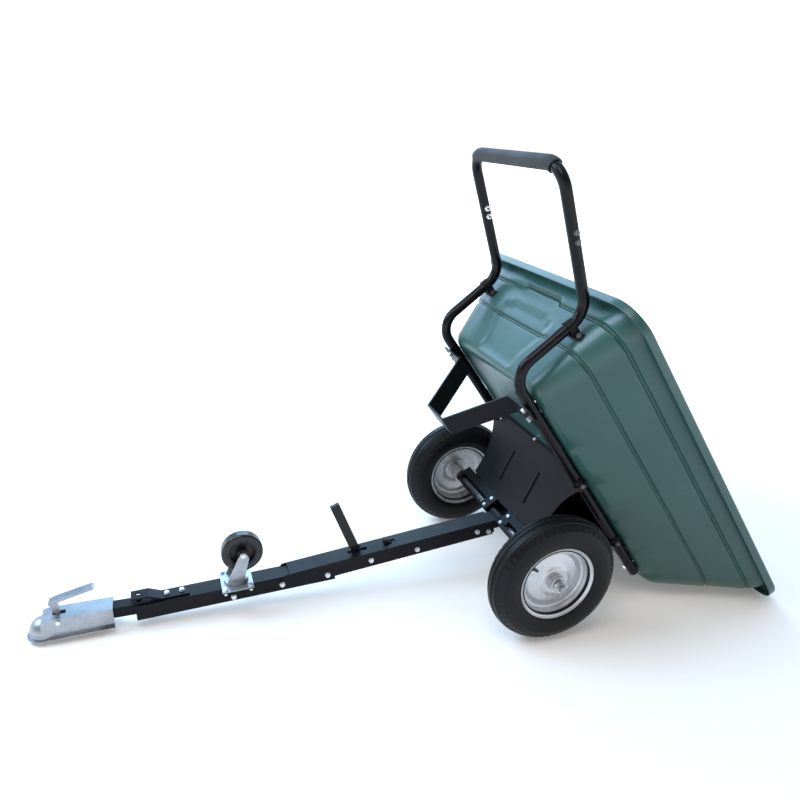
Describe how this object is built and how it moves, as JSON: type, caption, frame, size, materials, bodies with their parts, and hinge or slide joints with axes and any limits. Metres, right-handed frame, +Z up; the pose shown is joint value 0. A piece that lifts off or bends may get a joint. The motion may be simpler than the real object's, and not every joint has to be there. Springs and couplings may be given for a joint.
{
  "type": "tow behind tipping cart",
  "caption": "Two-wheeled tow-behind garden cart with a tipping plastic tub, push handle, drawbar, ball coupler and swivelling jockey caster.",
  "frame": {"origin": "on the floor, under the centre of the whole cart's bounding box, in the pictured tipped pose", "axes": "+X from the coupler towards the dump end, along the cart's length; +Y across to the cart's other side, along the axle; +Z up"},
  "size_m": [2.3035, 0.868, 1.3683],
  "materials": {
    "black_paint": "satin black powder coat",
    "black_gloss": "gloss black powder coat",
    "zinc_bolts": "bright zinc-plated fasteners",
    "zinc_plate": "zinc-plated pressed steel",
    "dark_steel": "greased dark steel",
    "caster_rubber": "solid rubber tread",
    "black_plastic": "moulded black plastic",
    "tub_plastic": "dark green moulded polyethylene",
    "foam_grip": "soft rubber sleeve",
    "tyre_rubber": "pneumatic tyre rubber",
    "rim_silver": "silver painted pressed steel",
    "bearing_steel": "ball bearings drawn as closed rings",
    "valve_rubber": "rubber valve stem"
  },
  "bodies": {
    "drawbar": {"drawbar_rear": "black_paint", "drawbar_front": "black_paint", "drawbar_bolts": "zinc_bolts", "drawbar_nuts": "zinc_bolts", "coupler_tube": "black_paint", "hitch_strap": "black_paint", "strap_bolts": "zinc_bolts", "coupler_body": "zinc_plate", "coupler_pin": "zinc_bolts", "caster_bracket": "black_paint", "caster_plate": "zinc_plate", "caster_plate_bolts": "zinc_bolts", "caster_kingpin": "zinc_bolts", "pivot_saddle": "black_paint", "stop_bracket": "black_paint", "latch_pin": "zinc_bolts", "latch_spring": "zinc_bolts"},
    "coupler_lever": {"coupler_lever": "zinc_plate"},
    "coupler_jaw": {"coupler_jaw": "dark_steel"},
    "caster_fork": {"caster_fork": "zinc_plate", "caster_axle": "zinc_bolts", "caster_axle_nut": "zinc_bolts"},
    "caster_wheel": {"caster_tyre": "caster_rubber", "caster_hub": "black_plastic"},
    "foot_latch": {"latch_lever": "black_paint", "latch_sleeve": "black_plastic"},
    "tub_frame": {"tub": "tub_plastic", "rail_left": "black_gloss", "rail_right": "black_gloss", "handle_loop": "black_gloss", "handle_grip": "foam_grip", "tube_bolts": "dark_steel", "tube_clips": "black_paint", "clip_bolts": "dark_steel", "stand": "black_paint", "rail_bolts": "zinc_bolts", "frame_nuts": "zinc_bolts", "panel_front": "black_paint", "panel_rear": "black_paint", "panel_tub_bolts": "zinc_bolts", "axle_channel": "black_paint", "panel_base_bolts": "zinc_bolts", "axle_rod": "zinc_plate", "axle_brackets": "black_paint", "bracket_bolts": "zinc_bolts", "axle_spacers": "zinc_plate", "axle_nuts": "zinc_bolts", "split_pins": "zinc_bolts"},
    "wheel_left": {"wheel_left_tyre": "tyre_rubber", "wheel_left_rim": "rim_silver", "wheel_left_hub": "rim_silver", "wheel_left_bearings": "bearing_steel", "wheel_left_valve": "valve_rubber"},
    "wheel_right": {"wheel_right_tyre": "tyre_rubber", "wheel_right_rim": "rim_silver", "wheel_right_hub": "rim_silver", "wheel_right_bearings": "bearing_steel", "wheel_right_valve": "valve_rubber"}
  },
  "joints": [
    {"name": "tub_tip", "type": "hinge", "parent": "drawbar", "child": "tub_frame", "pos_m": [0.3189, 0, 0.2], "axis": [0, 1, 0], "range_deg": [-63.5, 0]},
    {"name": "wheel_left_spin", "type": "hinge", "parent": "tub_frame", "child": "wheel_left", "pos_m": [0.3189, 0.3525, 0.2], "axis": [0, 1, 0], "continuous": true},
    {"name": "wheel_right_spin", "type": "hinge", "parent": "tub_frame", "child": "wheel_right", "pos_m": [0.3189, -0.3525, 0.2], "axis": [0, 1, 0], "continuous": true},
    {"name": "coupler_lever_swing", "type": "hinge", "parent": "drawbar", "child": "coupler_lever", "pos_m": [-1.06165, 0, 0.06583], "axis": [0, 1, 0], "range_deg": [-10, 30]},
    {"name": "coupler_jaw_swing", "type": "hinge", "parent": "drawbar", "child": "coupler_jaw", "pos_m": [-1.06165, 0, 0.06583], "axis": [0, 1, 0], "range_deg": [-1.5, 4.5]},
    {"name": "caster_swivel", "type": "hinge", "parent": "drawbar", "child": "caster_fork", "pos_m": [-0.55581, 0, 0.10078], "axis": [-0.0715, 0, 0.9974], "continuous": true},
    {"name": "caster_spin", "type": "hinge", "parent": "caster_fork", "child": "caster_wheel", "pos_m": [-0.53593, 0, 0.20106], "axis": [0, 1, 0], "continuous": true},
    {"name": "foot_latch_swing", "type": "hinge", "parent": "drawbar", "child": "foot_latch", "pos_m": [-0.13503, 0, 0.12429], "axis": [0, 1, 0], "range_deg": [-12, 8], "stiffness_Nm_per_rad": 8, "springref_deg": 1.72}
  ],
  "couplings": [
    {"joint": "coupler_jaw_swing", "follows": "coupler_lever_swing", "ratio": 0.15}
  ]
}
